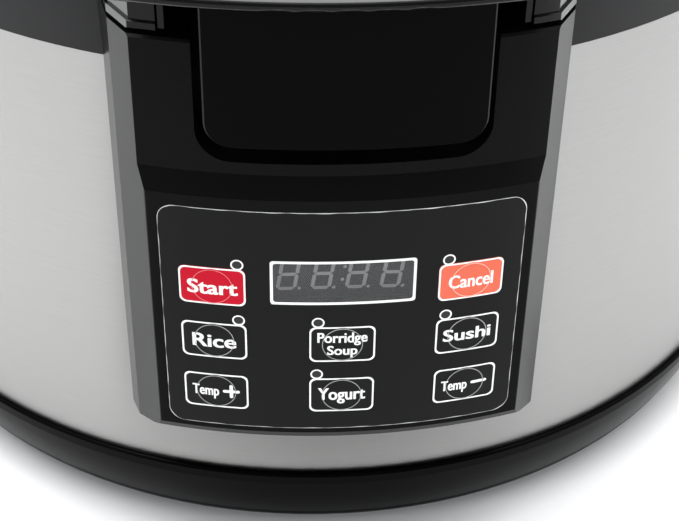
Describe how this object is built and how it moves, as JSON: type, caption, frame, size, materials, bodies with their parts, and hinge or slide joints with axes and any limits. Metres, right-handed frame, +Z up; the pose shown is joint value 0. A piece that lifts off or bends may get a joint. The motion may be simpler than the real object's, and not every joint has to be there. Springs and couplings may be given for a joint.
{
  "type": "electric rice cooker",
  "caption": "Large round electric rice cooker with brushed steel wall, hinged domed lid, pull latch and a curved keypad with a digital display.",
  "frame": {"origin": "on the floor, under the middle of the object, on the axis of the round wall", "axes": "+Z up, the control panel faces -Y, the hinge is at +Y, +X is to the right seen from above with the panel towards the viewer"},
  "size_m": [0.456, 0.474, 0.3145],
  "materials": {
    "pan_plastic": "moulded black, semi-gloss",
    "foot_rubber": "matt rubber",
    "wall_steel": "brushed horizontally round the wall",
    "collar_plastic": "satin dark grey",
    "pod_plastic": "gloss black",
    "film": "matt printed film",
    "window": "smoked lens",
    "lamp": "clear light pipe",
    "key_black": "matt film over a dome",
    "key_red": "printed red",
    "key_coral": "printed coral",
    "circuit_board": "green solder mask",
    "switch_plastic": "moulded",
    "led_module": "black module",
    "cable_grey": "PVC ribbon",
    "wire_insulation": "PVC insulation",
    "pot_coating": "speckled non-stick coating on aluminium",
    "liner_steel": "galvanised sheet",
    "heater_alloy": "cast and turned",
    "bracket_steel": "zinc plated",
    "spring_steel": "drawn wire",
    "screw_steel": "zinc plated",
    "band_foil": "foil band",
    "core_steel": "laminated core",
    "relay_blue": "moulded case",
    "inlet_plastic": "moulded thermoset",
    "housing_plastic": "fine spark texture",
    "cup_plastic": "clear cup",
    "handle_plastic": "fine spark texture",
    "lid_plastic": "gloss black",
    "cover_plastic": "satin",
    "gasket_silicone": "translucent silicone",
    "plate_aluminium": "anodised",
    "vent_plastic": "satin",
    "latch_plastic": "semi-matt black with a polished chamfer",
    "hook_plastic": "glass filled"
  },
  "bodies": {
    "body": {"base_pan": "pan_plastic", "feet": "foot_rubber", "outer_wall": "wall_steel", "top_collar": "collar_plastic", "control_pod": "pod_plastic", "overlay_film": "film", "indicator_lenses": "lamp", "control_board": "circuit_board", "tact_switches": "switch_plastic", "led_display": "led_module", "display_window": "window", "ribbon_cable": "cable_grey", "inner_pot": "pot_coating", "liner": "liner_steel", "liner_legs": "bracket_steel", "base_screws": "screw_steel", "heater_plate": "heater_alloy", "heater_posts": "bracket_steel", "sensor_bracket": "bracket_steel", "sensor_spring": "spring_steel", "band_heater": "band_foil", "thermal_fuse": "bracket_steel", "power_board": "circuit_board", "transformer": "core_steel", "relays": "relay_blue", "wiring": "wire_insulation", "inlet_bezel": "housing_plastic", "power_inlet": "inlet_plastic", "inlet_screws": "screw_steel", "hinge_housing": "housing_plastic", "hinge_pin": "bracket_steel", "hinge_springs": "spring_steel", "handle_screws": "screw_steel", "keeper": "bracket_steel", "keeper_screws": "screw_steel", "right_handle": "handle_plastic", "left_handle": "handle_plastic"},
    "lid": {"lid_shell": "lid_plastic", "lid_inner_cover": "cover_plastic", "lid_screws": "screw_steel", "lid_gasket": "gasket_silicone", "inner_lid_plate": "plate_aluminium", "steam_vent": "vent_plastic", "latch_pin": "bracket_steel", "latch_spring": "spring_steel"},
    "latch": {"latch_panel": "latch_plastic", "latch_hook": "hook_plastic"},
    "steam_cap_body": {"steam_cap": "vent_plastic"},
    "sensor": {"sensor_cup": "heater_alloy"},
    "cup": {"condensate_cup": "cup_plastic"},
    "key_start_body": {"key_start": "key_red"},
    "key_rice_body": {"key_rice": "key_black"},
    "key_temp_up_body": {"key_temp_up": "key_black"},
    "key_porridge_soup_body": {"key_porridge_soup": "key_black"},
    "key_yogurt_body": {"key_yogurt": "key_black"},
    "key_cancel_body": {"key_cancel": "key_coral"},
    "key_sushi_body": {"key_sushi": "key_black"},
    "key_temp_down_body": {"key_temp_down": "key_black"}
  },
  "joints": [
    {"name": "lid_hinge", "type": "hinge", "parent": "body", "child": "lid", "pos_m": [0, 0.207, 0.24], "axis": [-1, 0, 0], "range_deg": [0, 75]},
    {"name": "latch_pivot", "type": "hinge", "parent": "lid", "child": "latch", "pos_m": [0, -0.2215, 0.243], "axis": [-1, 0, 0], "range_deg": [0, 25], "stiffness_Nm_per_rad": 0.3, "springref_deg": -8.59},
    {"name": "steam_cap_lift", "type": "slide", "parent": "lid", "child": "steam_cap_body", "axis": [0, 0, 1], "range_m": [0, 0.02]},
    {"name": "sensor_travel", "type": "slide", "parent": "body", "child": "sensor", "axis": [0, 0, -1], "range_m": [0, 0.002], "stiffness_N_per_m": 400, "springref_m": -0.003, "deforming": ["sensor_spring"]},
    {"name": "cup_slide", "type": "slide", "parent": "body", "child": "cup", "axis": [0, 1, 0], "range_m": [0, 0.03]},
    {"name": "key_start_press", "type": "slide", "parent": "body", "child": "key_start_body", "axis": [0.1895, 0.9819, 0], "range_m": [0, 0.0005], "stiffness_N_per_m": 3000, "springref_m": -0.0003},
    {"name": "key_rice_press", "type": "slide", "parent": "body", "child": "key_rice_body", "axis": [0.1895, 0.9819, 0], "range_m": [0, 0.0005], "stiffness_N_per_m": 3000, "springref_m": -0.0003},
    {"name": "key_temp_up_press", "type": "slide", "parent": "body", "child": "key_temp_up_body", "axis": [0.1895, 0.9819, 0], "range_m": [0, 0.0005], "stiffness_N_per_m": 3000, "springref_m": -0.0003},
    {"name": "key_porridge_soup_press", "type": "slide", "parent": "body", "child": "key_porridge_soup_body", "axis": [0, 1, 0], "range_m": [0, 0.0005], "stiffness_N_per_m": 3000, "springref_m": -0.0003},
    {"name": "key_yogurt_press", "type": "slide", "parent": "body", "child": "key_yogurt_body", "axis": [0, 1, 0], "range_m": [0, 0.0005], "stiffness_N_per_m": 3000, "springref_m": -0.0003},
    {"name": "key_cancel_press", "type": "slide", "parent": "body", "child": "key_cancel_body", "axis": [-0.1878, 0.9822, 0], "range_m": [0, 0.0005], "stiffness_N_per_m": 3000, "springref_m": -0.0003},
    {"name": "key_sushi_press", "type": "slide", "parent": "body", "child": "key_sushi_body", "axis": [-0.1878, 0.9822, 0], "range_m": [0, 0.0005], "stiffness_N_per_m": 3000, "springref_m": -0.0003},
    {"name": "key_temp_down_press", "type": "slide", "parent": "body", "child": "key_temp_down_body", "axis": [-0.1895, 0.9819, 0], "range_m": [0, 0.0005], "stiffness_N_per_m": 3000, "springref_m": -0.0003}
  ]
}
